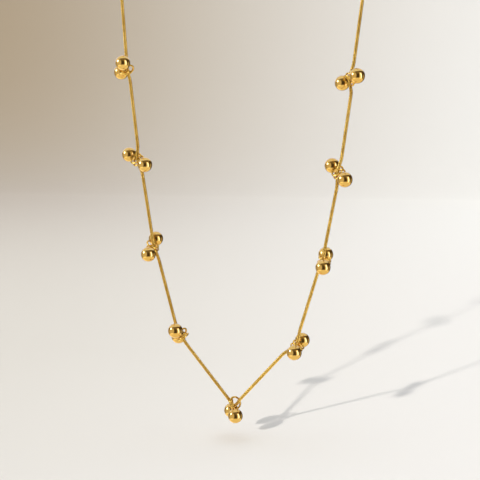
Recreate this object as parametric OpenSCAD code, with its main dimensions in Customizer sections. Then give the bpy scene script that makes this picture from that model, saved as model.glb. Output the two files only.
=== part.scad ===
// Beaded snake chain: a necklace of one thin round snake chain, with a pair of
// polished balls on soldered wire rings at each of nine stations along its front.
// Millimetres, +Z up, the front facing -Y. The origin is at the nape, on the
// underside of the clasp, where the loop hangs.

/* [Chain] */
// Diameter of the round snake chain
chain_d = 0.9; // [0.7:0.05:0.95]
// Rings of the tube along each half of a station's bend
station_steps = 2; // [2:1:3]
// Rings of the tube along each half of the lowest station's sharp bend
bottom_steps = 4; // [3:1:5]
// Rings of the tube along each hidden side of the loop
hidden_steps = 13; // [10:1:14]

/* [Loop] */
// Distance from the front of the loop back to the nape
loop_depth = 67; // [60:1:80]
// Height of the nape above the lowest station
nape_height = 148; // [140:1:160]
// How far each strand goes on upwards before it turns back
strand_rise = 42; // [30:1:50]
// How far the chain reaches sideways out of the clasp before it turns forward
nape_reach = 43; // [34:1:46]
// Sideways place of the nape, from the lowest station
nape_x = 1.5; // [0:0.5:3]

/* [Bead charms] */
// Diameter of each polished ball
ball_d = 4.0; // [3.6:0.1:4.1]
// Outer diameter of each wire ring
ring_d = 3.7; // [3.5:0.05:3.75]
// Thickness of the ring's wire
wire_d = 0.5; // [0.4:0.05:0.55]
// Width of the solder joint where it meets the ball
solder_d = 0.9; // [0.6:0.1:1.0]

/* [Clasp] */
// Length of the barrel clasp
clasp_l = 9; // [8:0.5:12]
// Diameter of the barrel
clasp_d = 3.0; // [2.4:0.1:3.6]
// Diameter of the collar at each end of the barrel
collar_d = 2.2; // [2.0:0.1:2.4]
// Length of each collar
collar_l = 0.9; // [0.6:0.1:1.2]
// Room round the chain in the clasp's sockets
socket_gap = 0.06; // [0.04:0.01:0.1]
// Depth of each socket
socket_l = 1.6; // [1.2:0.1:2]

/* [Hidden] */
gold = [0.86, 0.67, 0.32];
round_fn = 48;

// The chain's axis is swept with flat-sided rings of this many corners
tube_sides = 8;
// A point well inside the loop: the tube's rings are turned to face away from it
hub = [0, -40, -60];
// The chain's ends stop this short of the bottom of the clasp's sockets
end_gap = 0.2;
// How far the ring is let into the ball where they are soldered
ring_sink = 0.2;
// The solder joint starts inside the ball and ends just over the wire
solder_base = 0.12;
solder_top = 0.03;
// Depth of the seam round the barrel's middle, and half its width
seam_depth = 0.08;
seam_half = 0.12;
// Rounding of the barrel's shoulders
shoulder_r = 0.5;

// The places below are measured from the lowest station, X across and Z up in
// the plane of the front, Y back from it. This moves them to the part's frame.
front_origin = [-nape_x, -loop_depth, clasp_d / 2 - nape_height];

// Where the two straight strands leave the front's stretch, X and Z
left_top = [-30.8, 110.2];
right_top = [34.1, 108.7];

// Stations along the chain, from the left strand's top, down to the lowest one
// and up the right strand. The chain runs straight between them.
// Columns: name, then X and Z where the bend begins, at its middle, where it ends
STATION_NAME = 0;
STATION_IN = 1;
STATION_MID = 2;
STATION_OUT = 3;
stations = [
    ["l1", [-29.8, 96.4], [-29.5, 92.1], [-28.6, 87.8]],
    ["l2", [-26.8, 71.8], [-26.8, 67.2], [-25.4, 63.1]],
    ["l3", [-23.0, 47.5], [-22.2, 43.4], [-20.8, 39.3]],
    ["l4", [-16.5, 23.0], [-15.0, 19.5], [-12.8, 16.2]],
    ["c",  [ -1.4,  2.0], [  0.2,  0.3], [  1.9,  2.1]],
    ["r4", [ 13.3, 14.7], [ 17.2, 18.0], [ 18.4, 22.2]],
    ["r3", [ 22.9, 37.2], [ 24.4, 40.9], [ 25.0, 44.8]],
    ["r2", [ 27.8, 59.7], [ 28.2, 64.7], [ 29.2, 68.6]],
    ["r1", [ 31.4, 84.5], [ 31.0, 88.7], [ 32.1, 93.0]],
];

// Bead charms, one in front of the chain and one behind it at each station.
// Columns: station and side, the ball's centre (X, Y, Z), the tilt of the ring's
// side of the ball from +Z, its turn about Z, and the ring's roll about that line
CHARM_NAME = 0;
CHARM_BALL = 1;
CHARM_TILT = 2;
CHARM_TURN = 3;
CHARM_ROLL = 4;
charms = [
    ["l1_front", [-29.8, -2.9, 93.3], 118,   83,  50],
    ["l1_back",  [-32.2,  2.9, 91.1],  93,  -54, -74],
    ["l2_front", [-24.1, -2.1, 66.0],  74,  137,  38],
    ["l2_back",  [-30.0,  2.5, 68.6], 106,  -41, -39],
    ["l3_front", [-22.8, -3.8, 41.8],  70,   88, -76],
    ["l3_back",  [-22.7,  3.0, 45.4], 110,  -88,  62],
    ["l4_front", [-15.4, -3.5, 21.0], 110,   76,  32],
    ["l4_back",  [-16.5,  3.6, 18.1],  82,  -55, -59],
    ["c_front",  [  1.0, -2.1, -2.1],  28,  104, -61],
    ["c_back",   [ -1.3,  3.1, -2.0],  47,  -73,   5],
    ["r4_front", [ 17.4, -3.6, 16.4],  77,   90, -62],
    ["r4_back",  [ 18.4,  3.6, 18.5],  99,  -97,  53],
    ["r3_front", [ 24.9, -3.4, 39.5],  78,   94, -81],
    ["r3_back",  [ 24.6,  3.8, 42.1], 103,  -86,  68],
    ["r2_front", [ 30.4, -3.0, 62.6],  69,  122,  49],
    ["r2_back",  [ 26.2,  3.0, 66.0], 111,  -58, -48],
    ["r1_front", [ 33.3, -2.8, 89.3],  98,  123, -40],
    ["r1_back",  [ 28.7,  3.2, 87.7],  82,  -55,  39],
];

function charm_node(charm) = str("bead_charm_", charm[CHARM_NAME]);

// Points of the chain's axis

function unit(v) = v / norm(v);
function front_point(p) = front_origin + [p[0], 0, p[1]];

// A curve from p to q that leaves along tp and arrives along tq, at t from 0 to 1
function hermite(p, q, tp, tq, t) =
    (2 * pow(t, 3) - 3 * pow(t, 2) + 1) * p + (pow(t, 3) - 2 * pow(t, 2) + t) * tp
    + (3 * pow(t, 2) - 2 * pow(t, 3)) * q + (pow(t, 3) - pow(t, 2)) * tq;

function bezier(p, t) =
    pow(1 - t, 3) * p[0] + 3 * pow(1 - t, 2) * t * p[1]
    + 3 * (1 - t) * pow(t, 2) * p[2] + pow(t, 3) * p[3];

last_station = len(stations) - 1;
function point_before(i) = front_point(i == 0 ? left_top : stations[i - 1][STATION_OUT]);
function point_after(i) =
    front_point(i == last_station ? right_top : stations[i + 1][STATION_IN]);
function bend_steps(i) = stations[i][STATION_NAME] == "c" ? bottom_steps : station_steps;

// The bend at one station: in line with the strand on either side, and through
// the station's middle point
function station_bend(i) =
    let (
        a = front_point(stations[i][STATION_IN]),
        m = front_point(stations[i][STATION_MID]),
        b = front_point(stations[i][STATION_OUT]),
        first = norm(m - a),
        second = norm(b - m),
        steps = bend_steps(i),
        along_in = unit(a - point_before(i)) * first,
        along_mid = unit(b - a) * (first + second) / 2,
        along_out = unit(point_after(i) - b) * second
    )
    concat(
        [for (k = [0:steps]) hermite(a, m, along_in, along_mid, k / steps)],
        [for (k = [1:steps]) hermite(m, b, along_mid, along_out, k / steps)]
    );

// The hidden side of the loop, from the clasp's end to the top of a strand.
// side is -1 on the left and 1 on the right
function hidden_side(side, top, strand_foot) =
    let (
        strand_top = front_point(top),
        up_strand = unit(strand_top - front_point(strand_foot)),
        mouth = [side * clasp_l / 2, 0, clasp_d / 2],
        curve = [
            mouth,
            mouth + [side * nape_reach, 0, 0],
            strand_top + up_strand * strand_rise,
            strand_top
        ]
    )
    concat(
        [mouth - [side * (socket_l - end_gap), 0, 0]],
        [for (k = [0:hidden_steps]) bezier(curve, k / hidden_steps)]
    );

function backwards(list) = [for (i = [len(list) - 1:-1:0]) list[i]];

chain_axis = concat(
    hidden_side(-1, left_top, stations[0][STATION_IN]),
    [for (i = [0:last_station]) for (p = station_bend(i)) p],
    backwards(hidden_side(1, right_top, stations[last_station][STATION_OUT]))
);

// Sweep of a round cross-section along the axis

// The direction of a path at one of its points: between the two runs that meet there
function path_direction(path, i) =
    let (
        before = i == 0 ? [0, 0, 0] : unit(path[i] - path[i - 1]),
        after = i == len(path) - 1 ? [0, 0, 0] : unit(path[i + 1] - path[i])
    )
    unit(before + after);

function ring_points(path, i, radius) =
    let (
        along = path_direction(path, i),
        across = unit(cross(along, path[i] - hub)),
        outward = cross(across, along)
    )
    [for (k = [0:tube_sides - 1])
        path[i] + radius * (cos(360 * k / tube_sides) * outward
            + sin(360 * k / tube_sides) * across)];

module swept_tube(path, radius) {
    rings = len(path);
    corners = [for (i = [0:rings - 1]) for (p = ring_points(path, i, radius)) p];
    walls = [for (i = [0:rings - 2]) for (k = [0:tube_sides - 1])
        let (next = (k + 1) % tube_sides, a = i * tube_sides, b = a + tube_sides)
        [a + k, b + k, b + next, a + next]];
    first_end = [for (k = [0:tube_sides - 1]) k];
    last_end = [for (k = [tube_sides - 1:-1:0]) (rings - 1) * tube_sides + k];
    polyhedron(points = corners, faces = concat(walls, [first_end, last_end]));
}

// Sub-parts

module snake_chain() {
    color(gold) swept_tube(chain_axis, chain_d / 2);
}

module wire_ring() {
    rotate([90, 0, 0])
        rotate_extrude($fn = round_fn)
            translate([(ring_d - wire_d) / 2, 0])
                circle(d = wire_d, $fn = round_fn);
}

// The ball at the charm's own origin, with the ring standing on its +Z side
module bead_charm(charm) {
    ring_centre = (ball_d + ring_d) / 2 - ring_sink;
    wire_top = ring_centre - ring_d / 2 + wire_d;
    solder_foot = ball_d / 2 - solder_base;
    color(gold)
        translate(front_origin + charm[CHARM_BALL])
            rotate([0, charm[CHARM_TILT], charm[CHARM_TURN]])
                rotate([0, 0, charm[CHARM_ROLL]]) {
                    sphere(d = ball_d, $fn = round_fn);
                    translate([0, 0, ring_centre]) wire_ring();
                    translate([0, 0, solder_foot])
                        cylinder(
                            h = wire_top - solder_top - solder_foot,
                            d1 = solder_d,
                            d2 = wire_d,
                            $fn = round_fn
                        );
                }
}

// Half of the barrel's outline, from its middle to one end
function barrel_outline() =
    let (
        r = clasp_d / 2,
        end = clasp_l / 2,
        barrel_end = end - collar_l,
        arc = [for (a = [0:15:90])
            [r - shoulder_r + shoulder_r * cos(a), barrel_end - shoulder_r + shoulder_r * sin(a)]]
    )
    concat(
        [[0, 0], [r - seam_depth, 0], [r - seam_depth, seam_half / 2], [r, seam_half]],
        arc,
        [[collar_d / 2, barrel_end], [collar_d / 2, end], [0, end]]
    );

module clasp() {
    color(gold)
        translate([0, 0, clasp_d / 2])
            rotate([0, 90, 0])
                difference() {
                    for (side = [0, 1])
                        mirror([0, 0, side])
                            rotate_extrude($fn = round_fn)
                                polygon(barrel_outline());
                    for (side = [0, 1])
                        mirror([0, 0, side])
                            translate([0, 0, clasp_l / 2 - socket_l])
                                cylinder(h = socket_l + 1, d = chain_d + 2 * socket_gap, $fn = round_fn);
                }
}

snake_chain();
clasp();
for (charm = charms)
    bead_charm(charm);
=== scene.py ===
"""Beaded snake chain: its fine links, bead charms, clasp and gold finishes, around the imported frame.

Blender works in metres in the row frame. Sizes of the necklace are written in millimetres and turned
into metres with MM where a mesh is made. The charms, the clasp and the route of the chain have the
same driving sizes as the frame's solids, and each piece here stands for the solid it replaces.
"""

import logging
import math
from collections.abc import Callable, Sequence
from dataclasses import dataclass
from enum import Enum

import bpy
import numpy as np
from mathutils import Matrix, Quaternion, Vector

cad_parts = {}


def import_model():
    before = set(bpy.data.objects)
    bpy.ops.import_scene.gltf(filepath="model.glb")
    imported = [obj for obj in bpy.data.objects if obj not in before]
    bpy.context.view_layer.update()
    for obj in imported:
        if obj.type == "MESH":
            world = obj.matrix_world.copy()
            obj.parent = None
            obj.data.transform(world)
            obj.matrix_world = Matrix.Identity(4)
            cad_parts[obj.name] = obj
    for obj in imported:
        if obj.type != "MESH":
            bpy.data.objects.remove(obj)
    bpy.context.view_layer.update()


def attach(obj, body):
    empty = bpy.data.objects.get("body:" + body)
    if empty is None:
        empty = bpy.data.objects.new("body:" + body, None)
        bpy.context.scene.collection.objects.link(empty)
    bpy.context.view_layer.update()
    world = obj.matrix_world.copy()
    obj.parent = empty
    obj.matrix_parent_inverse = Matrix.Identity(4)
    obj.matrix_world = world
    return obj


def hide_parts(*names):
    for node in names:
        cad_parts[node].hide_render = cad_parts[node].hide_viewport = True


LOG = logging.getLogger("beaded_snake_chain")
MM = 0.001
BODY = "root"

Point = tuple[float, float, float]
Place = tuple[float, float]
Span = tuple[float, float]
Colour = tuple[float, float, float, float]
Faces = list[tuple[int, ...]]
Form = tuple[np.ndarray, Faces]
Socket = bpy.types.NodeSocket

BLACK: Colour = (0.0, 0.0, 0.0, 1.0)
NOISE_MIDDLE = 0.5


class Slot(Enum):
    """The record's material slots."""

    CHAIN = "chain_gold"
    CHARM = "polished_gold"
    CLASP = "clasp_gold"


class Side(Enum):
    """A side of the loop, as the sign of its X."""

    LEFT = -1
    RIGHT = 1


class Stretch(Enum):
    """The four stretches that the chain's mesh is split into, in order from the clasp's left end."""

    NAPE_LEFT = "snake_chain_nape_left"
    FRONT_LEFT = "snake_chain_front_left"
    FRONT_RIGHT = "snake_chain_front_right"
    NAPE_RIGHT = "snake_chain_nape_right"


@dataclass(frozen=True)
class Station:
    """A place on the chain that carries two charms: X and Z from the lowest station, in the front's plane."""

    name: str
    begins: Place
    middle: Place
    ends: Place


@dataclass(frozen=True)
class CharmPose:
    """Where one charm hangs.

    Its ball's centre is given from the lowest station in millimetres, and its ring's turns in degrees.
    """

    name: str
    ball: Point
    tilt: float
    turn: float
    roll: float


LEFT_TOP: Place = (-30.8, 110.2)
RIGHT_TOP: Place = (34.1, 108.7)
STATIONS = (
    Station("l1", (-29.8, 96.4), (-29.5, 92.1), (-28.6, 87.8)),
    Station("l2", (-26.8, 71.8), (-26.8, 67.2), (-25.4, 63.1)),
    Station("l3", (-23.0, 47.5), (-22.2, 43.4), (-20.8, 39.3)),
    Station("l4", (-16.5, 23.0), (-15.0, 19.5), (-12.8, 16.2)),
    Station("c", (-1.4, 2.0), (0.2, 0.3), (1.9, 2.1)),
    Station("r4", (13.3, 14.7), (17.2, 18.0), (18.4, 22.2)),
    Station("r3", (22.9, 37.2), (24.4, 40.9), (25.0, 44.8)),
    Station("r2", (27.8, 59.7), (28.2, 64.7), (29.2, 68.6)),
    Station("r1", (31.4, 84.5), (31.0, 88.7), (32.1, 93.0)),
)
CHARM_POSES = (
    CharmPose("l1_front", (-29.8, -2.9, 93.3), 118, 83, 50),
    CharmPose("l1_back", (-32.2, 2.9, 91.1), 93, -54, -74),
    CharmPose("l2_front", (-24.1, -2.1, 66.0), 74, 137, 38),
    CharmPose("l2_back", (-30.0, 2.5, 68.6), 106, -41, -39),
    CharmPose("l3_front", (-22.8, -3.8, 41.8), 70, 88, -76),
    CharmPose("l3_back", (-22.7, 3.0, 45.4), 110, -88, 62),
    CharmPose("l4_front", (-15.4, -3.5, 21.0), 110, 76, 32),
    CharmPose("l4_back", (-16.5, 3.6, 18.1), 82, -55, -59),
    CharmPose("c_front", (1.0, -2.1, -2.1), 28, 104, -61),
    CharmPose("c_back", (-1.3, 3.1, -2.0), 47, -73, 5),
    CharmPose("r4_front", (17.4, -3.6, 16.4), 77, 90, -62),
    CharmPose("r4_back", (18.4, 3.6, 18.5), 99, -97, 53),
    CharmPose("r3_front", (24.9, -3.4, 39.5), 78, 94, -81),
    CharmPose("r3_back", (24.6, 3.8, 42.1), 103, -86, 68),
    CharmPose("r2_front", (30.4, -3.0, 62.6), 69, 122, 49),
    CharmPose("r2_back", (26.2, 3.0, 66.0), 111, -58, -48),
    CharmPose("r1_front", (33.3, -2.8, 89.3), 98, 123, -40),
    CharmPose("r1_back", (28.7, 3.2, 87.7), 82, -55, 39),
)


def unit(vector: np.ndarray) -> np.ndarray:
    """Return the vector, or each row of vectors, at length 1."""
    return vector / np.linalg.norm(vector, axis=-1, keepdims=True)


def outward(points: np.ndarray, faces: Faces) -> Faces:
    """Turn the faces of a closed form so that they all look out.

    Args:
        points: the form's corners, one row each.
        faces: its faces, all wound the same way.

    Returns:
        The faces, each wound backwards if they looked in.
    """
    volume = 0.0
    for face in faces:
        first = points[face[0]]
        for a, b in zip(face[1:], face[2:]):
            volume += float(np.dot(first, np.cross(points[a], points[b])))
    return faces if volume > 0 else [face[::-1] for face in faces]


def smooth_mesh(name: str, points: np.ndarray, faces: Faces | np.ndarray, crease: float) -> bpy.types.Mesh:
    """Make a mesh that shades smoothly across its soft edges.

    Args:
        name: the mesh's name.
        points: its corners in metres.
        faces: its faces by corner number.
        crease: the angle in degrees past which an edge stays sharp.

    Returns:
        The new mesh.
    """
    mesh = bpy.data.meshes.new(name)
    mesh.from_pydata(points.tolist(), [], [list(face) for face in faces])
    mesh.shade_smooth()
    mesh.set_sharp_from_angle(angle=math.radians(crease))
    return mesh


def show(name: str, data: bpy.types.ID) -> bpy.types.Object:
    """Put a mesh, a light or a camera in the scene as an object of that name and return it."""
    made = bpy.data.objects.new(name, data)
    bpy.context.scene.collection.objects.link(made)
    return made


def arc(centre: Place, radius: float, start: float, end: float, steps: int) -> list[Place]:
    """Return points along an arc, at angles in degrees from start to end, both included."""
    angles = [math.radians(start + (end - start) * k / steps) for k in range(steps + 1)]
    return [(centre[0] + radius * math.cos(a), centre[1] + radius * math.sin(a)) for a in angles]


def bezier(corners: Sequence[np.ndarray], steps: int) -> np.ndarray:
    """Return the points of a cubic curve with these four control points, both ends included."""
    t = np.linspace(0.0, 1.0, steps + 1)[:, None]
    p, q, r, s = (np.asarray(corner, float) for corner in corners)
    return (1 - t) ** 3 * p + 3 * (1 - t) ** 2 * t * q + 3 * (1 - t) * t**2 * r + t**3 * s


def hermite(p: np.ndarray, q: np.ndarray, leave: np.ndarray, arrive: np.ndarray, steps: int) -> np.ndarray:
    """Return the points of a curve from p to q that leaves along one vector and arrives along another."""
    return bezier((p, p + leave / 3, q - arrive / 3, q), steps)


def lathe(profile: Sequence[Place], sides: int) -> Form:
    """Turn a profile round the Z axis.

    Args:
        profile: radius and height of each point, from one end on the axis to the other.
        sides: how many steps the turn has.

    Returns:
        The corners and the outward faces of a closed form.
    """
    turn = np.linspace(0.0, 2 * math.pi, sides, endpoint=False)
    rings = [
        np.column_stack((radius * np.cos(turn), radius * np.sin(turn), np.full(sides, height)))
        for radius, height in profile[1:-1]
    ]
    points = np.vstack(([[0, 0, profile[0][1]]], *rings, [[0, 0, profile[-1][1]]]))
    last = len(points) - 1
    faces: Faces = []
    for k in range(sides):
        following = (k + 1) % sides
        faces.append((0, 1 + following, 1 + k))
        faces.append((last, last - sides + k, last - sides + following))
        for ring in range(len(rings) - 1):
            a = 1 + ring * sides
            faces.append((a + k, a + following, a + sides + following, a + sides + k))
    return points, outward(points, faces)


def hoop(outline: Sequence[Place], sides: int, shift: Callable[[float], float]) -> Form:
    """Sweep a closed outline round the Z axis.

    Args:
        outline: radius and height of each corner of the outline.
        sides: how many steps the turn has.
        shift: how far up the outline moves at an angle in radians.

    Returns:
        The corners and the outward faces of a closed ring.
    """
    corners = len(outline)
    points = np.array(
        [
            (radius * math.cos(a), radius * math.sin(a), height + shift(a))
            for a in np.linspace(0.0, 2 * math.pi, sides, endpoint=False)
            for radius, height in outline
        ]
    )
    faces = [
        (
            side * corners + k,
            (side + 1) % sides * corners + k,
            (side + 1) % sides * corners + (k + 1) % corners,
            side * corners + (k + 1) % corners,
        )
        for side in range(sides)
        for k in range(corners)
    ]
    return points, outward(points, faces)


class NodeBench:
    """A node tree, with short calls that place and wire its nodes."""

    def __init__(self, tree: bpy.types.NodeTree) -> None:
        """Keep the tree to build in."""
        self.tree = tree

    def add(
        self, kind: str, values: dict[str | int, object] | None = None, **settings: object
    ) -> bpy.types.Node:
        """Place one node.

        Args:
            kind: Blender's name for the kind of node.
            values: what its inputs get, by name or number. A socket is wired, and anything else is set.
            settings: the node's own settings.

        Returns:
            The new node.
        """
        node = self.tree.nodes.new(kind)
        for name, value in settings.items():
            setattr(node, name, value)
        for key, value in (values or {}).items():
            if isinstance(value, Socket):
                self.tree.links.new(value, node.inputs[key])
            else:
                node.inputs[key].default_value = value
        return node

    def math(self, operation: str, *values: object) -> Socket:
        """Place a Math node on these values and return its result."""
        return self.add("ShaderNodeMath", dict(enumerate(values)), operation=operation).outputs[0]

    def vector_math(self, operation: str, *values: object) -> bpy.types.Node:
        """Place a Vector Math node on these values and return it."""
        return self.add("ShaderNodeVectorMath", dict(enumerate(values)), operation=operation)

    def noise(self, vector: Socket, scale: float | Socket, detail: float) -> Socket:
        """Place a Noise Texture of features 1 / scale metres across and return its value."""
        values = {"Vector": vector, "Scale": scale, "Detail": detail}
        return self.add("ShaderNodeTexNoise", values).outputs["Fac"]

    def blend(self, share: object, first: object, second: object) -> Socket:
        """Place a Mix node for colours and return the mixed colour."""
        node = self.add("ShaderNodeMix", data_type="RGBA")
        for socket, value in zip((node.inputs[0], node.inputs[6], node.inputs[7]), (share, first, second)):
            if isinstance(value, Socket):
                self.tree.links.new(value, socket)
            else:
                socket.default_value = value
        return node.outputs[2]

    def ramp(self, value: object, low: float, high: float) -> Socket:
        """Place a smooth Map Range from low to high and return its result from 0 to 1."""
        values = {"Value": value, "From Min": low, "From Max": high}
        node = self.add("ShaderNodeMapRange", values, interpolation_type="SMOOTHSTEP")
        return node.outputs["Result"]


def shader_group(
    name: str, inputs: dict[str, str], outputs: dict[str, str]
) -> tuple[NodeBench, dict[str, Socket], bpy.types.Node]:
    """Make an empty shader node group.

    Args:
        name: the group's name.
        inputs: the kind of each input socket, by name.
        outputs: the kind of each output socket, by name.

    Returns:
        The bench to build it on, its inputs by name, and its output node.
    """
    tree = bpy.data.node_groups.new(name, "ShaderNodeTree")
    for in_out, sockets in (("INPUT", inputs), ("OUTPUT", outputs)):
        for socket, kind in sockets.items():
            tree.interface.new_socket(socket, in_out=in_out, socket_type=f"NodeSocket{kind}")
    bench = NodeBench(tree)
    given = bench.add("NodeGroupInput").outputs
    return bench, {key: given[key] for key in inputs}, bench.add("NodeGroupOutput")


@dataclass
class GoldEffects:
    """The node groups that every gold finish shares."""

    marks_stretch: Point = (1.0, 0.12, 0.45)
    cross_stretch: Point = (0.10, 1.0, 0.60)
    # From which value of the noise, and up to which, an effect goes from none to full
    hair_span: Span = (0.52, 0.70)
    drift_span: Span = (0.38, 0.64)
    wear_span: Span = (0.34, 0.62)
    # The clouds' fineness against the hairlines', and what a hairline adds to roughness and cuts in depth
    cloud_fineness: float = 0.16
    hair_roughness: float = 0.5
    hair_depth: float = 0.35
    wear_fineness: float = 5200.0
    wear_roughness: float = 0.10

    def build(self) -> None:
        """Make the three groups."""
        self.polish_marks = self._polish_marks()
        self.plating_tone_and_shade = self._plating_tone_and_shade()
        self.rubbed_wear = self._rubbed_wear()

    def _polish_marks(self) -> bpy.types.NodeTree:
        """Return the group for a buffed surface: fine crossed hairlines over soft cloudy patches."""
        inputs = {"Vector": "Vector", "Roughness": "Float", "Spread": "Float", "Fineness": "Float"}
        bench, given, result = shader_group("polish_marks", inputs, {"Roughness": "Float", "Height": "Float"})
        lines = []
        for stretch in (self.marks_stretch, self.cross_stretch):
            moved = bench.vector_math("MULTIPLY", given["Vector"], stretch).outputs[0]
            lines.append(bench.ramp(bench.noise(moved, given["Fineness"], 3.0), *self.hair_span))
        hairlines = bench.math("MAXIMUM", *lines)
        cloud_scale = bench.math("MULTIPLY", given["Fineness"], self.cloud_fineness)
        clouds = bench.noise(given["Vector"], cloud_scale, 2.0)
        marked = bench.math("MULTIPLY", hairlines, self.hair_roughness)
        uneven = bench.math("ADD", marked, bench.math("SUBTRACT", clouds, NOISE_MIDDLE))
        roughness = bench.math("MULTIPLY_ADD", uneven, given["Spread"], given["Roughness"])
        height = bench.math("MULTIPLY_ADD", hairlines, -self.hair_depth, clouds)
        bench.tree.links.new(roughness, result.inputs["Roughness"])
        bench.tree.links.new(height, result.inputs["Height"])
        return bench.tree

    def _plating_tone_and_shade(self) -> bpy.types.NodeTree:
        """Return the group for the plating's colour: a slow drift in tone, and painted shade in hollows and
        between parts.
        """
        inputs = {
            "Vector": "Vector",
            "Gold": "Color",
            "Warm Gold": "Color",
            "Shaded Gold": "Color",
            "Painted Shade": "Float",
            "Patchiness": "Float",
        }
        bench, given, result = shader_group("plating_tone_and_shade", inputs, {"Color": "Color"})
        drift = bench.ramp(bench.noise(given["Vector"], given["Patchiness"], 3.0), *self.drift_span)
        tone = bench.blend(drift, given["Gold"], given["Warm Gold"])
        # Painted shade laid over the tone where the mesh is marked
        tone = bench.blend(given["Painted Shade"], tone, given["Shaded Gold"])
        bench.tree.links.new(tone, result.inputs["Color"])
        return bench.tree

    def _rubbed_wear(self) -> bpy.types.NodeTree:
        """Return the group for rubbed places: a broken mask that pales the gold and dulls it a little."""
        inputs = {
            "Vector": "Vector",
            "Color": "Color",
            "Worn Gold": "Color",
            "Roughness": "Float",
            "Rub": "Float",
        }
        outputs = {"Color": "Color", "Roughness": "Float"}
        bench, given, result = shader_group("rubbed_wear", inputs, outputs)
        broken = bench.ramp(bench.noise(given["Vector"], self.wear_fineness, 4.0), *self.wear_span)
        mask = bench.math("MULTIPLY", broken, given["Rub"])
        bench.tree.links.new(bench.blend(mask, given["Color"], given["Worn Gold"]), result.inputs["Color"])
        dulled = bench.math("MULTIPLY_ADD", mask, self.wear_roughness, given["Roughness"])
        bench.tree.links.new(dulled, result.inputs["Roughness"])
        return bench.tree


@dataclass(frozen=True)
class GoldFinish:
    """One finish of the gold plating.

    Patchiness and fineness are how many patches of tone and how many hairlines go into a metre, the
    bump's height is in millimetres, and spread is how far the roughness strays.
    """

    slot: Slot
    gold: Colour
    warm_gold: Colour
    # The colour of the painted shade in hollows and between parts
    shaded_gold: Colour
    worn_gold: Colour
    patchiness: float
    roughness: float
    spread: float
    fineness: float
    bump: float

    def material(self, effects: GoldEffects) -> bpy.types.Material:
        """Make the finish's material.

        Args:
            effects: the node groups that the finishes share.

        Returns:
            The material. It reads two mesh attributes from 0 to 1: the painted shade in hollows and between
            parts, and the rub.
        """
        made = bpy.data.materials.new(self.slot.value)
        made.use_nodes = True
        made.node_tree.nodes.clear()
        bench = NodeBench(made.node_tree)
        where = bench.add("ShaderNodeTexCoord").outputs["Object"]
        # How much painted shade a place gets, from 0 to 1
        painted_shade = bench.add("ShaderNodeAttribute", attribute_name="painted_shade").outputs["Fac"]
        rub = bench.add("ShaderNodeAttribute", attribute_name="rub").outputs["Fac"]
        plating = {
            "Vector": where,
            "Gold": self.gold,
            "Warm Gold": self.warm_gold,
            "Shaded Gold": self.shaded_gold,
            "Painted Shade": painted_shade,
            "Patchiness": self.patchiness,
        }
        tone = bench.add("ShaderNodeGroup", plating, node_tree=effects.plating_tone_and_shade)
        polish = {
            "Vector": where,
            "Roughness": self.roughness,
            "Spread": self.spread,
            "Fineness": self.fineness,
        }
        marks = bench.add("ShaderNodeGroup", polish, node_tree=effects.polish_marks)
        rubbing = {
            "Vector": where,
            "Color": tone.outputs["Color"],
            "Worn Gold": self.worn_gold,
            "Roughness": marks.outputs["Roughness"],
            "Rub": rub,
        }
        wear_and_shade = bench.add("ShaderNodeGroup", rubbing, node_tree=effects.rubbed_wear)
        bump = bench.add("ShaderNodeBump", {"Height": marks.outputs["Height"], "Distance": self.bump * MM})
        surface = bench.add(
            "ShaderNodeBsdfPrincipled",
            {
                "Base Color": wear_and_shade.outputs["Color"],
                "Roughness": wear_and_shade.outputs["Roughness"],
                "Metallic": 1.0,
                "Normal": bump.outputs["Normal"],
            },
        )
        bench.add("ShaderNodeOutputMaterial", {"Surface": surface.outputs["BSDF"]})
        return made


CHARM_FINISH = GoldFinish(
    slot=Slot.CHARM,
    gold=(0.88, 0.57, 0.155, 1),
    warm_gold=(0.86, 0.53, 0.13, 1),
    shaded_gold=(0.36, 0.17, 0.015, 1),
    worn_gold=(0.94, 0.62, 0.10, 1),
    patchiness=210.0,
    roughness=0.07,
    spread=0.05,
    fineness=4200.0,
    bump=0.0004,
)
CHAIN_FINISH = GoldFinish(
    slot=Slot.CHAIN,
    gold=(0.90, 0.565, 0.105, 1),
    warm_gold=(0.66, 0.375, 0.05, 1),
    shaded_gold=(0.22, 0.10, 0.015, 1),
    worn_gold=(0.90, 0.61, 0.13, 1),
    patchiness=330.0,
    roughness=0.14,
    spread=0.10,
    fineness=6500.0,
    bump=0.0006,
)
CLASP_FINISH = GoldFinish(
    slot=Slot.CLASP,
    gold=(0.91, 0.57, 0.13, 1),
    warm_gold=(0.88, 0.53, 0.115, 1),
    shaded_gold=(0.36, 0.17, 0.04, 1),
    worn_gold=(0.84, 0.62, 0.28, 1),
    patchiness=210.0,
    roughness=0.12,
    spread=0.09,
    fineness=3600.0,
    bump=0.0008,
)


def mark(mesh: bpy.types.Mesh, name: str, values: np.ndarray) -> None:
    """Store one value from 0 to 1 for each corner of a mesh, for its finish to read.

    Args:
        mesh: the mesh.
        name: the attribute's name.
        values: one value for each corner.
    """
    attribute = mesh.attributes.new(name, "FLOAT", "POINT")
    attribute.data.foreach_set("value", np.clip(values, 0.0, 1.0).astype(np.float32))


def fit(piece: bpy.types.Object, node: str) -> None:
    """Let a finished piece stand for its solid: it rides on the body, and the solid is hidden."""
    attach(piece, BODY)
    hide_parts(node)
    LOG.info("%s: %d faces, for node %s", piece.name, len(piece.data.polygons), node)


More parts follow.
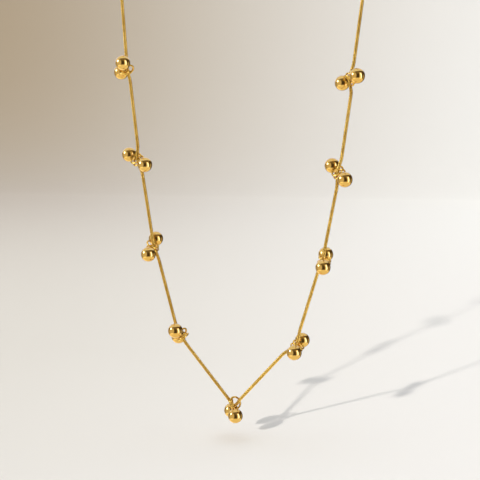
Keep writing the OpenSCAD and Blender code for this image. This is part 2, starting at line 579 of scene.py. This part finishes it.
@dataclass
class LoopRoute:
    """The line that the chain follows, in millimetres."""

    loop_depth: float = 67.0
    nape_height: float = 148.0
    strand_rise: float = 42.0
    nape_reach: float = 43.0
    nape_x: float = 1.5
    clasp_l: float = 9.0
    clasp_d: float = 3.0
    reach_into_clasp: float = 1.4
    bend_steps: int = 24
    nape_steps: int = 400

    def front_point(self, place: Sequence[float]) -> np.ndarray:
        """Return the row's place of a point given from the lowest station, as X and Z or X, Y and Z."""
        x, y, z = (place[0], 0.0, place[1]) if len(place) == 2 else place
        return np.array((x - self.nape_x, y - self.loop_depth, z + self.clasp_d / 2 - self.nape_height))

    def bend(self, index: int) -> tuple[np.ndarray, np.ndarray]:
        """Return the two halves of a station's bend, in line with the strand on either side."""
        station = STATIONS[index]
        before = LEFT_TOP if index == 0 else STATIONS[index - 1].ends
        after = RIGHT_TOP if index == len(STATIONS) - 1 else STATIONS[index + 1].begins
        a, m, b = (self.front_point(p) for p in (station.begins, station.middle, station.ends))
        first, second = np.linalg.norm(m - a), np.linalg.norm(b - m)
        along = unit(b - a) * (first + second) / 2
        arrive = unit(a - self.front_point(before)) * first
        leave = unit(self.front_point(after) - b) * second
        return hermite(a, m, arrive, along, self.bend_steps), hermite(m, b, along, leave, self.bend_steps)

    def nape_side(self, side: Side) -> np.ndarray:
        """Return the hidden side of the loop, from inside the clasp to the top of a strand."""
        top, foot = (LEFT_TOP, STATIONS[0].begins) if side is Side.LEFT else (RIGHT_TOP, STATIONS[-1].ends)
        strand_top = self.front_point(top)
        up_strand = unit(strand_top - self.front_point(foot))
        across = np.array((float(side.value), 0.0, 0.0))
        mouth = across * self.clasp_l / 2 + np.array((0.0, 0.0, self.clasp_d / 2))
        over_nape = mouth + across * self.nape_reach
        over_strand = strand_top + up_strand * self.strand_rise
        curve = bezier((mouth, over_nape, over_strand, strand_top), self.nape_steps)
        return np.vstack((mouth - across * self.reach_into_clasp, curve))

    def stretches(self) -> dict[Stretch, np.ndarray]:
        """Return the points of each of the chain's stretches, in order along the chain."""
        halves = [half for index in range(len(STATIONS)) for half in self.bend(index)]
        middle = len(halves) // 2
        return {
            Stretch.NAPE_LEFT: self.nape_side(Side.LEFT),
            Stretch.FRONT_LEFT: np.vstack(halves[:middle]),
            Stretch.FRONT_RIGHT: np.vstack(halves[middle:]),
            Stretch.NAPE_RIGHT: self.nape_side(Side.RIGHT)[::-1],
        }


@dataclass
class SnakeChain:
    """The round snake chain, as closed wavy links that nest in each other. Sizes are in millimetres."""

    route: LoopRoute
    node: str = "snake_chain"
    radius: float = 0.45
    pitch: float = 0.42
    wave: float = 0.14
    waves_round: int = 4
    sides: int = 32
    end_room: float = 0.45
    # Points of the route that are nearer to each other than this are one
    least_step: float = 1e-6
    crease: float = 50.0
    # The depth over which the painted shade in the gaps between links grows from none to full, where below
    # the surface it starts as a share of that depth, and how many times as fast the rubbed tone fades
    shade_depth: float = 0.10
    shade_start: float = 0.25
    rub_fade: float = 2.5
    # How unevenly the links lie, in degrees, and the seed of that unevenness
    tilt_spread: float = 1.6
    turn_spread: float = 3.0
    seed: int = 11

    def outline(self) -> list[Place]:
        """Return the link's cross-section: a rounded band, and a tongue that lies under the next link.

        Returns:
            The radius of each corner, and its height along the chain.
        """
        band = [(0.36, -0.18), (0.42, -0.165), (0.447, -0.09), (self.radius, -0.02), (0.447, 0.06)]
        edge = [(0.425, 0.145), (0.37, 0.18)]
        tongue = [(0.345, 0.30), (0.31, 0.30), (0.31, -0.12)]
        return band + edge + tongue

    def line(self) -> tuple[np.ndarray, np.ndarray]:
        """Return the middles of all links, and the number of the stretch that each is in."""
        stretches = list(self.route.stretches().values())
        path = np.vstack(stretches)
        steps = np.linalg.norm(np.diff(path, axis=0), axis=1)
        path = path[np.concatenate(([True], steps > self.least_step))]
        along = np.concatenate(([0.0], np.cumsum(np.linalg.norm(np.diff(path, axis=0), axis=1))))
        count = int((along[-1] - 2 * self.end_room) / self.pitch) + 1
        stations = np.linspace(self.end_room, along[-1] - self.end_room, count)
        middles = np.column_stack([np.interp(stations, along, path[:, axis]) for axis in range(3)])
        joins = [stretch[-1] for stretch in stretches[:-1]]
        ends = [along[np.argmin(np.linalg.norm(path - join, axis=1))] for join in joins]
        return middles, np.searchsorted(ends, stations)

    def frames(self, middles: np.ndarray) -> np.ndarray:
        """Return three axes for each link, the third one along the chain, that don't twist along it."""
        ahead = unit(np.gradient(middles, axis=0))
        axes = np.zeros((len(middles), 3, 3))
        across = np.array((0.0, 1.0, 0.0))
        for k, direction in enumerate(ahead):
            across = unit(across - direction * np.dot(across, direction))
            axes[k] = across, np.cross(direction, across), direction
        return axes

    def uneven(self, axes: np.ndarray) -> np.ndarray:
        """Return the axes with each link turned and tilted a little, as real links lie."""
        chance = np.random.default_rng(self.seed)
        turned = np.empty_like(axes)
        for k, frame in enumerate(axes):
            tilts = np.radians(chance.normal(0.0, self.tilt_spread, 2))
            turn = math.radians(chance.normal(0.0, self.turn_spread))
            c, s = math.cos(turn), math.sin(turn)
            across, beside = c * frame[0] + s * frame[1], c * frame[1] - s * frame[0]
            ahead = unit(frame[2] + tilts[0] * across + tilts[1] * beside)
            across = unit(across - ahead * np.dot(across, ahead))
            turned[k] = across, np.cross(ahead, across), ahead
        return turned

    def build(self) -> None:
        """Make one mesh for each stretch of the chain."""
        link, faces = hoop(self.outline(), self.sides, lambda a: self.wave * math.cos(self.waves_round * a))
        face_array = np.array(faces)
        depth = (self.radius - np.hypot(link[:, 0], link[:, 1])) / self.shade_depth
        middles, stretch_of = self.line()
        axes = self.uneven(self.frames(middles))
        self.pieces = []
        for number, stretch in enumerate(Stretch):
            chosen = np.flatnonzero(stretch_of == number)
            points = middles[chosen, None, :] + np.einsum("mi,lij->lmj", link, axes[chosen])
            shifted = face_array[None] + (np.arange(len(chosen)) * len(link))[:, None, None]
            mesh = smooth_mesh(stretch.value, points.reshape(-1, 3) * MM, shifted.reshape(-1, 4), self.crease)
            # Painted shade, darker the deeper a corner lies inside the link's outer surface
            mark(mesh, "painted_shade", np.tile(depth, len(chosen)) - self.shade_start)
            mark(mesh, "rub", np.tile(1.0 - self.rub_fade * depth, len(chosen)))
            self.pieces.append(show(stretch.value, mesh))

    def dress(self, effects: GoldEffects) -> None:
        """Give the chain its satin-bright finish and let it stand for the frame's tube."""
        material = CHAIN_FINISH.material(effects)
        for piece in self.pieces:
            piece.data.materials.append(material)
            fit(piece, self.node)


@dataclass
class BeadCharm:
    """A polished ball with a wire ring soldered to it, hung at every pose. Sizes are in millimetres."""

    route: LoopRoute
    ball_d: float = 4.0
    ring_d: float = 3.7
    wire_d: float = 0.5
    ring_sink: float = 0.2
    # The solder: where it leaves the ball, its neck, its top, and how it spreads along the wire
    solder_foot: float = 0.80
    solder_neck: float = 0.27
    solder_top: float = 2.15
    solder_spread: float = 0.75
    # How far the fillet's curve leans on the ball and on the neck, and its rounded top
    fillet_foot: float = 0.35
    fillet_neck: float = 0.12
    crown_r: float = 0.05
    # The painted shade round the solder: its radius, its stretch along the wire, and how high it lies
    joint_r: float = 0.5
    joint_stretch: float = 2.0
    joint_height: Span = (1.85, 2.17)
    # How strong the painted shade is round the solder, inside the ring and on the ring's lower half
    joint_shade: float = 0.8
    inner_shade: float = 1.0
    lower_shade: float = 0.9
    ball_sides: int = 96
    ball_steps: int = 44
    fillet_steps: int = 9
    crown_steps: int = 3
    ring_sides: int = 72
    wire_sides: int = 16
    crease: float = 38.0

    @property
    def ring_centre(self) -> float:
        """The height of the ring's middle over the ball's."""
        return (self.ball_d + self.ring_d) / 2 - self.ring_sink

    @property
    def ring_radius(self) -> float:
        """The radius of the ring's wire's middle line."""
        return (self.ring_d - self.wire_d) / 2

    def ball_and_solder(self) -> Form:
        """Return the ball with the solder's hollow fillet on its top, spread along the wire."""
        radius = self.ball_d / 2
        foot_angle = math.degrees(math.acos(self.solder_foot / radius))
        ball = arc((0.0, 0.0), radius, -90.0, foot_angle, self.ball_steps)
        foot = np.array(ball[-1])
        down = np.array((-foot[1], foot[0])) / radius
        neck = np.array((self.solder_neck, self.solder_top - self.crown_r))
        lean = (foot + down * self.fillet_foot, neck - (0.0, self.fillet_neck))
        fillet = bezier((foot, *lean, neck), self.fillet_steps)
        crown = arc((neck[0] - self.crown_r, neck[1]), self.crown_r, 0.0, 90.0, self.crown_steps)
        profile = [(0.0, -radius), *ball[1:], *map(tuple, fillet[1:]), *crown[1:], (0.0, self.solder_top)]
        points, faces = lathe(profile, self.ball_sides)
        rise = np.clip((points[:, 2] - foot[1]) / (neck[1] - foot[1]), 0.0, 1.0)
        points[:, 0] *= 1.0 + self.solder_spread * rise * rise
        return points, faces

    def wire_ring(self) -> Form:
        """Return the ring, standing over the ball in the local XZ plane."""
        outline = arc((self.ring_radius, 0.0), self.wire_d / 2, 0.0, 360.0, self.wire_sides)[:-1]
        points, faces = hoop(outline, self.ring_sides, lambda a: 0.0)
        standing = np.column_stack((points[:, 0], points[:, 2], points[:, 1] + self.ring_centre))
        return standing, outward(standing, faces)

    def fused(self) -> bpy.types.Mesh:
        """Return the ball, the solder and the ring as one closed mesh, at the origin."""
        parts = [
            show(name, smooth_mesh(name, points * MM, faces, self.crease))
            for name, (points, faces) in (("ball", self.ball_and_solder()), ("ring", self.wire_ring()))
        ]
        join = parts[0].modifiers.new("solder", "BOOLEAN")
        join.operation = "UNION"
        join.solver = "EXACT"
        join.object = parts[1]
        state = bpy.context.evaluated_depsgraph_get()
        mesh = bpy.data.meshes.new_from_object(parts[0].evaluated_get(state))
        for part in parts:
            bpy.data.objects.remove(part)
        mesh.shade_smooth()
        mesh.set_sharp_from_angle(angle=math.radians(self.crease))
        return mesh

    def wear_and_shade(self, mesh: bpy.types.Mesh) -> None:
        """Mark the rubbed ring, and the painted shade round the solder and on the ring's inner and lower
        sides.
        """
        x, y, z = np.array([corner.co for corner in mesh.vertices]).T / MM
        on_ring = z > self.solder_top
        inward = self.ring_radius - np.hypot(x, z - self.ring_centre)
        inner = np.clip(on_ring * inward / (self.wire_d / 2), 0.0, 1.0) ** 2
        lower = on_ring * np.clip((self.ring_centre - z) / self.ring_radius, 0.0, 1.0)
        bottom, top = self.joint_height
        near_joint = np.clip(1.0 - np.hypot(x / self.joint_stretch, y) / self.joint_r, 0.0, 1.0)
        joint = ((z > bottom) & (z < top)) * near_joint
        # Painted shade where the ring meets the ball, on the ring's inside and on its lower half
        painted_shade = self.joint_shade * joint + self.inner_shade * inner + self.lower_shade * lower
        mark(mesh, "rub", on_ring)
        mark(mesh, "painted_shade", painted_shade)

    def build(self) -> None:
        """Make one charm and hang a copy of it at every pose."""
        master = self.fused()
        self.wear_and_shade(master)
        self.pieces = []
        for pose in CHARM_POSES:
            mesh = master.copy()
            turned = (
                Matrix.Rotation(math.radians(pose.turn), 4, "Z")
                @ Matrix.Rotation(math.radians(pose.tilt), 4, "Y")
                @ Matrix.Rotation(math.radians(pose.roll), 4, "Z")
            )
            mesh.transform(Matrix.Translation(self.route.front_point(pose.ball) * MM) @ turned)
            self.pieces.append(show(f"charm_{pose.name}", mesh))
        bpy.data.meshes.remove(master)

    def dress(self, effects: GoldEffects) -> None:
        """Give every charm its mirror polish and let it stand for its own solid."""
        material = CHARM_FINISH.material(effects)
        for piece, pose in zip(self.pieces, CHARM_POSES):
            piece.data.materials.append(material)
            fit(piece, f"bead_charm_{pose.name}")


@dataclass
class BarrelClasp:
    """The plain barrel clasp at the nape. Sizes are in millimetres."""

    node: str = "clasp"
    length: float = 9.0
    diameter: float = 3.0
    collar_d: float = 2.2
    collar_l: float = 0.9
    socket_d: float = 1.02
    socket_l: float = 1.6
    seam_depth: float = 0.08
    seam_half: float = 0.12
    # The share of the seam's width that is flat, and the small rounding of its edge
    seam_flat: float = 0.35
    seam_edge_r: float = 0.05
    seam_edge_rise: float = 0.03
    shoulder_r: float = 0.5
    # The roundings at the collar's foot, at its lip and at the socket's mouth
    foot_r: float = 0.08
    foot_rise: float = 0.07
    lip_r: float = 0.14
    mouth_r: float = 0.10
    # How far under the barrel's surface the seam's painted shade begins, how far outside the socket the
    # socket's painted shade ends, and how far under the surface the rubbed tone ends, with the strength of
    # both tones
    seam_from: float = 0.03
    socket_to: float = 0.01
    rub_to: float = 0.02
    painted_shade: float = 0.8
    rub: float = 0.35
    sides: int = 112
    crease: float = 30.0

    def half_profile(self) -> list[Place]:
        """Return the barrel's outline from its middle to the bottom of one socket."""
        r, end = self.diameter / 2, self.length / 2
        barrel_end = end - self.collar_l
        socket_r, collar_r = self.socket_d / 2, self.collar_d / 2
        seam = [(r - self.seam_depth, 0.0), (r - self.seam_depth, self.seam_half * self.seam_flat)]
        edge = (r - self.seam_edge_r, self.seam_half + self.seam_edge_rise)
        seam += arc(edge, self.seam_edge_r, -60.0, 0.0, 3)
        crown = [(r, barrel_end * share) for share in (0.2, 0.4, 0.6, 0.8)]
        shoulder = arc((r - self.shoulder_r, barrel_end - self.shoulder_r), self.shoulder_r, 0.0, 84.0, 10)
        foot = arc((collar_r + self.foot_r, barrel_end + self.foot_rise), self.foot_r, 250.0, 180.0, 4)
        lip = arc((collar_r - self.lip_r, end - self.lip_r), self.lip_r, 0.0, 90.0, 6)
        mouth = arc((socket_r + self.mouth_r, end - self.mouth_r), self.mouth_r, 90.0, 180.0, 5)
        bottom = [(socket_r, end - self.socket_l), (0.0, end - self.socket_l)]
        return seam + crown + shoulder + foot + lip + mouth + bottom

    def build(self) -> None:
        """Make the barrel, turned from one outline and its mirror image, and lay it along X."""
        half = self.half_profile()
        profile = [(radius, -height) for radius, height in reversed(half[1:])] + half
        points, faces = lathe(profile, self.sides)
        laid = np.column_stack((points[:, 2], points[:, 1], self.diameter / 2 - points[:, 0]))
        mesh = smooth_mesh(self.node, laid * MM, outward(laid, faces), self.crease)
        away = np.hypot(points[:, 0], points[:, 1])
        by_seam = np.abs(points[:, 2])
        in_seam = (by_seam < self.seam_half) & (away < self.diameter / 2 - self.seam_from)
        in_socket = away < self.socket_d / 2 + self.socket_to
        widest = (away > self.diameter / 2 - self.rub_to) & (by_seam > self.seam_half)
        # Painted shade in the seam's groove and inside both sockets
        mark(mesh, "painted_shade", self.painted_shade * (in_seam | in_socket))
        mark(mesh, "rub", self.rub * widest)
        self.piece = show("clasp_barrel", mesh)

    def dress(self, effects: GoldEffects) -> None:
        """Give the clasp its buffed finish and let it stand for the frame's barrel."""
        self.piece.data.materials.append(CLASP_FINISH.material(effects))
        fit(self.piece, self.node)


@dataclass(frozen=True)
class Glow:
    """A soft patch of light in the room that the gold mirrors.

    Its middle is given by how far to the right of the camera and how far up it lies, and its
    brightness falls from the middle's to none between the inner and the outer angle, in degrees.
    """

    right: float
    up: float
    inner: float
    outer: float
    colour: Point
    strength: float


@dataclass(frozen=True)
class Sun:
    """A light that falls from far away on the floor, and that the gold doesn't mirror.

    It stands at angles to the right of the camera and up. Its width, as it looks from here in
    degrees, softens its shadow. Its energy is in watts a square metre.
    """

    name: str
    right: float
    up: float
    width: float
    energy: float
    colour: Point


@dataclass(frozen=True)
class Panel:
    """A soft panel of light, which the gold mirrors and which doesn't fall on the floor.

    Its middle stands at angles to the right of the camera and up, at a distance in metres, and its
    top leans to the left by an angle, seen from the necklace. Its radiance is its brightness, where
    a white floor in full light is about 1.
    """

    name: str
    right: float
    up: float
    lean: float
    away: float
    size: Place
    radiance: float
    colour: Point


@dataclass
class Studio:
    """The camera, the pale floor with its sweep, and the light. Sizes here are in metres."""

    yaw: float = 12.5
    elevation: float = 6.0
    distance: float = 0.300
    # The focal length and the picture's side, in pixels of the photograph
    focal_px: float = 1113.0
    picture_px: float = 480.0
    sensor_mm: float = 36.0
    clip_start: float = 0.01
    # What the picture's middle looks at, from the lowest station, in millimetres
    aim: Point = (1.83, 0.0, 45.87)
    floor_z: float = -0.1555
    floor_half: float = 3.0
    sweep_start: float = 0.9
    sweep_radius: float = 0.6
    sweep_height: float = 1.6
    sweep_steps: int = 24
    floor_crease: float = 80.0
    floor_roughness: float = 0.75
    # The floor's fine grain: how many grains go into a metre, and their height
    grain_scale: float = 900.0
    grain_height: float = 0.00002
    # How much of the key's light the flat floor and an upright wall get, and the rest of all light
    key_on_flat: float = 0.342
    key_on_upright: float = 0.88
    rest_of_light: float = 0.63
    # The painted light and shade go from left to right with the way sideways over the way back from this
    # place on the floor, between these two slopes. The way back is never taken as less than tone_near
    tone_from: Place = (0.065, -0.358)
    tone_near: float = 0.4
    tone_slopes: Span = (-0.50, 0.10)
    # Over which Y the near painted tones turn into the middle ones, and the middle ones into the far ones
    near_to_middle: Span = (-0.1, 0.9)
    middle_to_far: Span = (0.85, 1.4)
    # The floor's pale tone with painted light and shade on it, near, halfway and far, each at the left and
    # at the right of the picture: darker at the left, most of all far back, and lighter far back at the right
    near_tones_and_shade: tuple[Colour, Colour] = ((0.675, 0.645, 0.57, 1), (0.81, 0.79, 0.735, 1))
    middle_tones_and_shade: tuple[Colour, Colour] = ((0.51, 0.465, 0.405, 1), (0.86, 0.86, 0.82, 1))
    far_tones_and_shade: tuple[Colour, Colour] = ((0.44, 0.365, 0.26, 1), (0.90, 0.915, 0.90, 1))
    # The point that the panels of light stand round and face, in the row frame
    panel_aim: Point = (0.0, -0.067, -0.10)
    # The room's own light in the gold, and what the camera sees of the room
    room: Point = (0.075, 0.058, 0.040)
    seen_room: Colour = (0.775, 0.745, 0.705, 1)
    glows: tuple[Glow, ...] = (
        Glow(0, -90, 55, 65, (1.0, 0.95, 0.87), 0.84),
        Glow(-165, 55, 44, 56, (0.93, 1.0, 1.30), 0.80),
        Glow(-145, -20, 18, 46, (1.0, 0.97, 0.92), 0.42),
        Glow(5, 58, 0, 40, (1.0, 0.88, 0.66), 0.13),
        Glow(-62, 2, 36, 52, (1.0, 0.96, 0.93), 0.60),
        Glow(108, -16, 12, 34, (1.0, 0.96, 0.90), 0.30),
    )
    suns: tuple[Sun, ...] = (
        Sun("key", -33.0, 20.0, 1.9, 3.55, (1.0, 0.96, 0.94)),
        Sun("fill", 0.0, 88.0, 90.0, 0.82, (0.92, 1.0, 0.97)),
    )
    panels: tuple[Panel, ...] = (
        Panel("door", 50.0, 5.0, 0.0, 0.9, (0.66, 1.50), 0.8, (1.0, 0.97, 0.92)),
        Panel("lamp", 57.0, 3.0, 10.0, 0.8, (0.20, 0.96), 4.2, (0.46, 0.52, 1.0)),
        Panel("window", -84.0, 23.0, 0.0, 0.9, (0.34, 0.28), 12.0, (0.52, 0.60, 1.0)),
    )

    def direction(self, right: float, up: float) -> Vector:
        """Return the way to something, by its angles to the right of the camera and up, in degrees."""
        a, e = math.radians(self.yaw + right), math.radians(up)
        return Vector((math.sin(a) * math.cos(e), -math.cos(a) * math.cos(e), math.sin(e)))

    def camera(self, route: LoopRoute) -> None:
        """Set up the camera at the photograph's viewing angle."""
        data = bpy.data.cameras.new("camera")
        data.sensor_width = self.sensor_mm
        data.lens = self.sensor_mm * self.focal_px / self.picture_px
        data.clip_start = self.clip_start
        made = show("camera", data)
        back = self.direction(0.0, self.elevation)
        made.location = Vector(route.front_point(self.aim) * MM) + back * self.distance
        made.rotation_euler = (-back).to_track_quat("-Z", "Y").to_euler()
        bpy.context.scene.camera = made

    def floor(self) -> None:
        """Make the pale floor, which sweeps up far behind the necklace."""
        bend = arc((self.sweep_start, self.sweep_radius), self.sweep_radius, -90.0, 0.0, self.sweep_steps)
        side = [(-self.floor_half, 0.0), *bend, (self.sweep_start + self.sweep_radius, self.sweep_height)]
        edges = (-self.floor_half, self.floor_half)
        points = np.array([(x, y, self.floor_z + z) for y, z in side for x in edges])
        faces = [(2 * k, 2 * k + 1, 2 * k + 3, 2 * k + 2) for k in range(len(side) - 1)]
        made = show("floor", smooth_mesh("floor", points, faces, self.floor_crease))
        made.data.materials.append(self.floor_material())
        made.visible_glossy = False

    def floor_material(self) -> bpy.types.Material:
        """Return the floor's matt finish: its pale tone with painted light and shade over it, and a fine
        grain.
        """
        material = bpy.data.materials.new("pale_floor")
        material.use_nodes = True
        material.node_tree.nodes.clear()
        bench = NodeBench(material.node_tree)
        where = bench.add("ShaderNodeTexCoord").outputs["Object"]
        grains = bench.noise(where, self.grain_scale, 4.0)
        grain = bench.add("ShaderNodeBump", {"Height": grains, "Distance": self.grain_height})
        x, y, _ = bench.add("ShaderNodeSeparateXYZ", {"Vector": where}).outputs
        # Painted light and shade: the floor's tone darkens towards the left, most of all far back
        sideways = bench.math("SUBTRACT", x, self.tone_from[0])
        back = bench.math("SUBTRACT", y, self.tone_from[1])
        slope = bench.math("DIVIDE", sideways, bench.math("MAXIMUM", back, self.tone_near))
        across = bench.ramp(slope, *self.tone_slopes)
        tones_and_shade = (self.near_tones_and_shade, self.middle_tones_and_shade, self.far_tones_and_shade)
        near, middle, far = (bench.blend(across, *pair) for pair in tones_and_shade)
        tone = bench.blend(bench.ramp(y, *self.near_to_middle), near, middle)
        tone = bench.blend(bench.ramp(y, *self.middle_to_far), tone, far)
        tone = bench.blend(self.levelled(bench, y), BLACK, tone)
        values = {
            "Base Color": tone,
            "Roughness": self.floor_roughness,
            "Specular IOR Level": 0.0,
            "Normal": grain.outputs["Normal"],
        }
        surface = bench.add("ShaderNodeBsdfPrincipled", values)
        bench.add("ShaderNodeOutputMaterial", {"Surface": surface.outputs["BSDF"]})
        return material

    def levelled(self, bench: NodeBench, y: Socket) -> Socket:
        """Return how much darker the sweep is painted as it turns up to face the key, so that no edge shows.

        Args:
            bench: the floor's nodes.
            y: how far back a point is, in metres.

        Returns:
            The share of the tone to keep, 1 on the flat floor.
        """
        rise = bench.math("DIVIDE", bench.math("SUBTRACT", y, self.sweep_start), self.sweep_radius)
        rise = bench.math("MINIMUM", bench.math("MAXIMUM", rise, 0.0), 1.0)
        flat = bench.math("SQRT", bench.math("SUBTRACT", 1.0, bench.math("MULTIPLY", rise, rise)))
        light = bench.math("MULTIPLY_ADD", flat, self.key_on_flat, self.rest_of_light)
        light = bench.math("MULTIPLY_ADD", rise, self.key_on_upright, light)
        return bench.math("DIVIDE", self.key_on_flat + self.rest_of_light, light)

    def room_light(self) -> None:
        """Make the dim room with its soft glows. The camera itself sees a plain pale room."""
        world = bpy.data.worlds.new("room")
        bpy.context.scene.world = world
        world.use_nodes = True
        world.node_tree.nodes.clear()
        bench = NodeBench(world.node_tree)
        way = bench.add("ShaderNodeTexCoord").outputs["Generated"]
        total: Socket | None = None
        for glow in self.glows:
            middle = tuple(self.direction(glow.right, glow.up))
            near = bench.vector_math("DOT_PRODUCT", way, middle).outputs["Value"]
            share = bench.ramp(near, math.cos(math.radians(glow.outer)), math.cos(math.radians(glow.inner)))
            scaled = {0: glow.colour, "Scale": bench.math("MULTIPLY", share, glow.strength)}
            light = bench.add("ShaderNodeVectorMath", scaled, operation="SCALE").outputs[0]
            total = light if total is None else bench.vector_math("ADD", total, light).outputs[0]
        mirrored = bench.vector_math("ADD", total, self.room).outputs[0]
        seen = bench.add("ShaderNodeLightPath").outputs["Is Camera Ray"]
        colour = bench.blend(seen, mirrored, self.seen_room)
        background = bench.add("ShaderNodeBackground", {"Color": colour})
        bench.add("ShaderNodeOutputWorld", {"Surface": background.outputs[0]})

    def hang_sun(self, sun: Sun) -> None:
        """Make one light that falls from far away."""
        data = bpy.data.lights.new(sun.name, "SUN")
        data.energy = sun.energy
        data.angle = math.radians(sun.width)
        data.color = sun.colour
        made = show(sun.name, data)
        made.rotation_euler = self.direction(sun.right, sun.up).to_track_quat("Z", "Y").to_euler()
        made.visible_glossy = False

    def hang_panel(self, panel: Panel) -> None:
        """Make one soft panel of light, facing the necklace."""
        data = bpy.data.lights.new(panel.name, "AREA")
        data.shape = "RECTANGLE"
        data.size, data.size_y = panel.size
        data.energy = panel.radiance * math.pi * panel.size[0] * panel.size[1]
        data.color = panel.colour
        made = show(panel.name, data)
        back = self.direction(panel.right, panel.up)
        made.location = Vector(self.panel_aim) + back * panel.away
        lean = Quaternion((0.0, 0.0, 1.0), math.radians(panel.lean))
        made.rotation_euler = (back.to_track_quat("Z", "Y") @ lean).to_euler()
        made.visible_camera = False
        made.visible_diffuse = False

    def build(self) -> None:
        """Make the floor and all the light, and show colours as they are."""
        self.floor()
        self.room_light()
        for sun in self.suns:
            self.hang_sun(sun)
        for panel in self.panels:
            self.hang_panel(panel)
        settings = bpy.context.scene.view_settings
        settings.view_transform = "Standard"
        settings.look = "None"


def main() -> None:
    """Build the necklace round the frame, and the studio round the necklace."""
    logging.basicConfig(level=logging.INFO, format="%(name)s: %(message)s")
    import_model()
    route = LoopRoute()
    studio = Studio()
    studio.camera(route)
    effects = GoldEffects()
    effects.build()
    for assembly in (SnakeChain(route), BeadCharm(route), BarrelClasp()):
        assembly.build()
        assembly.dress(effects)
    studio.build()


if __name__ == "__main__":
    main()
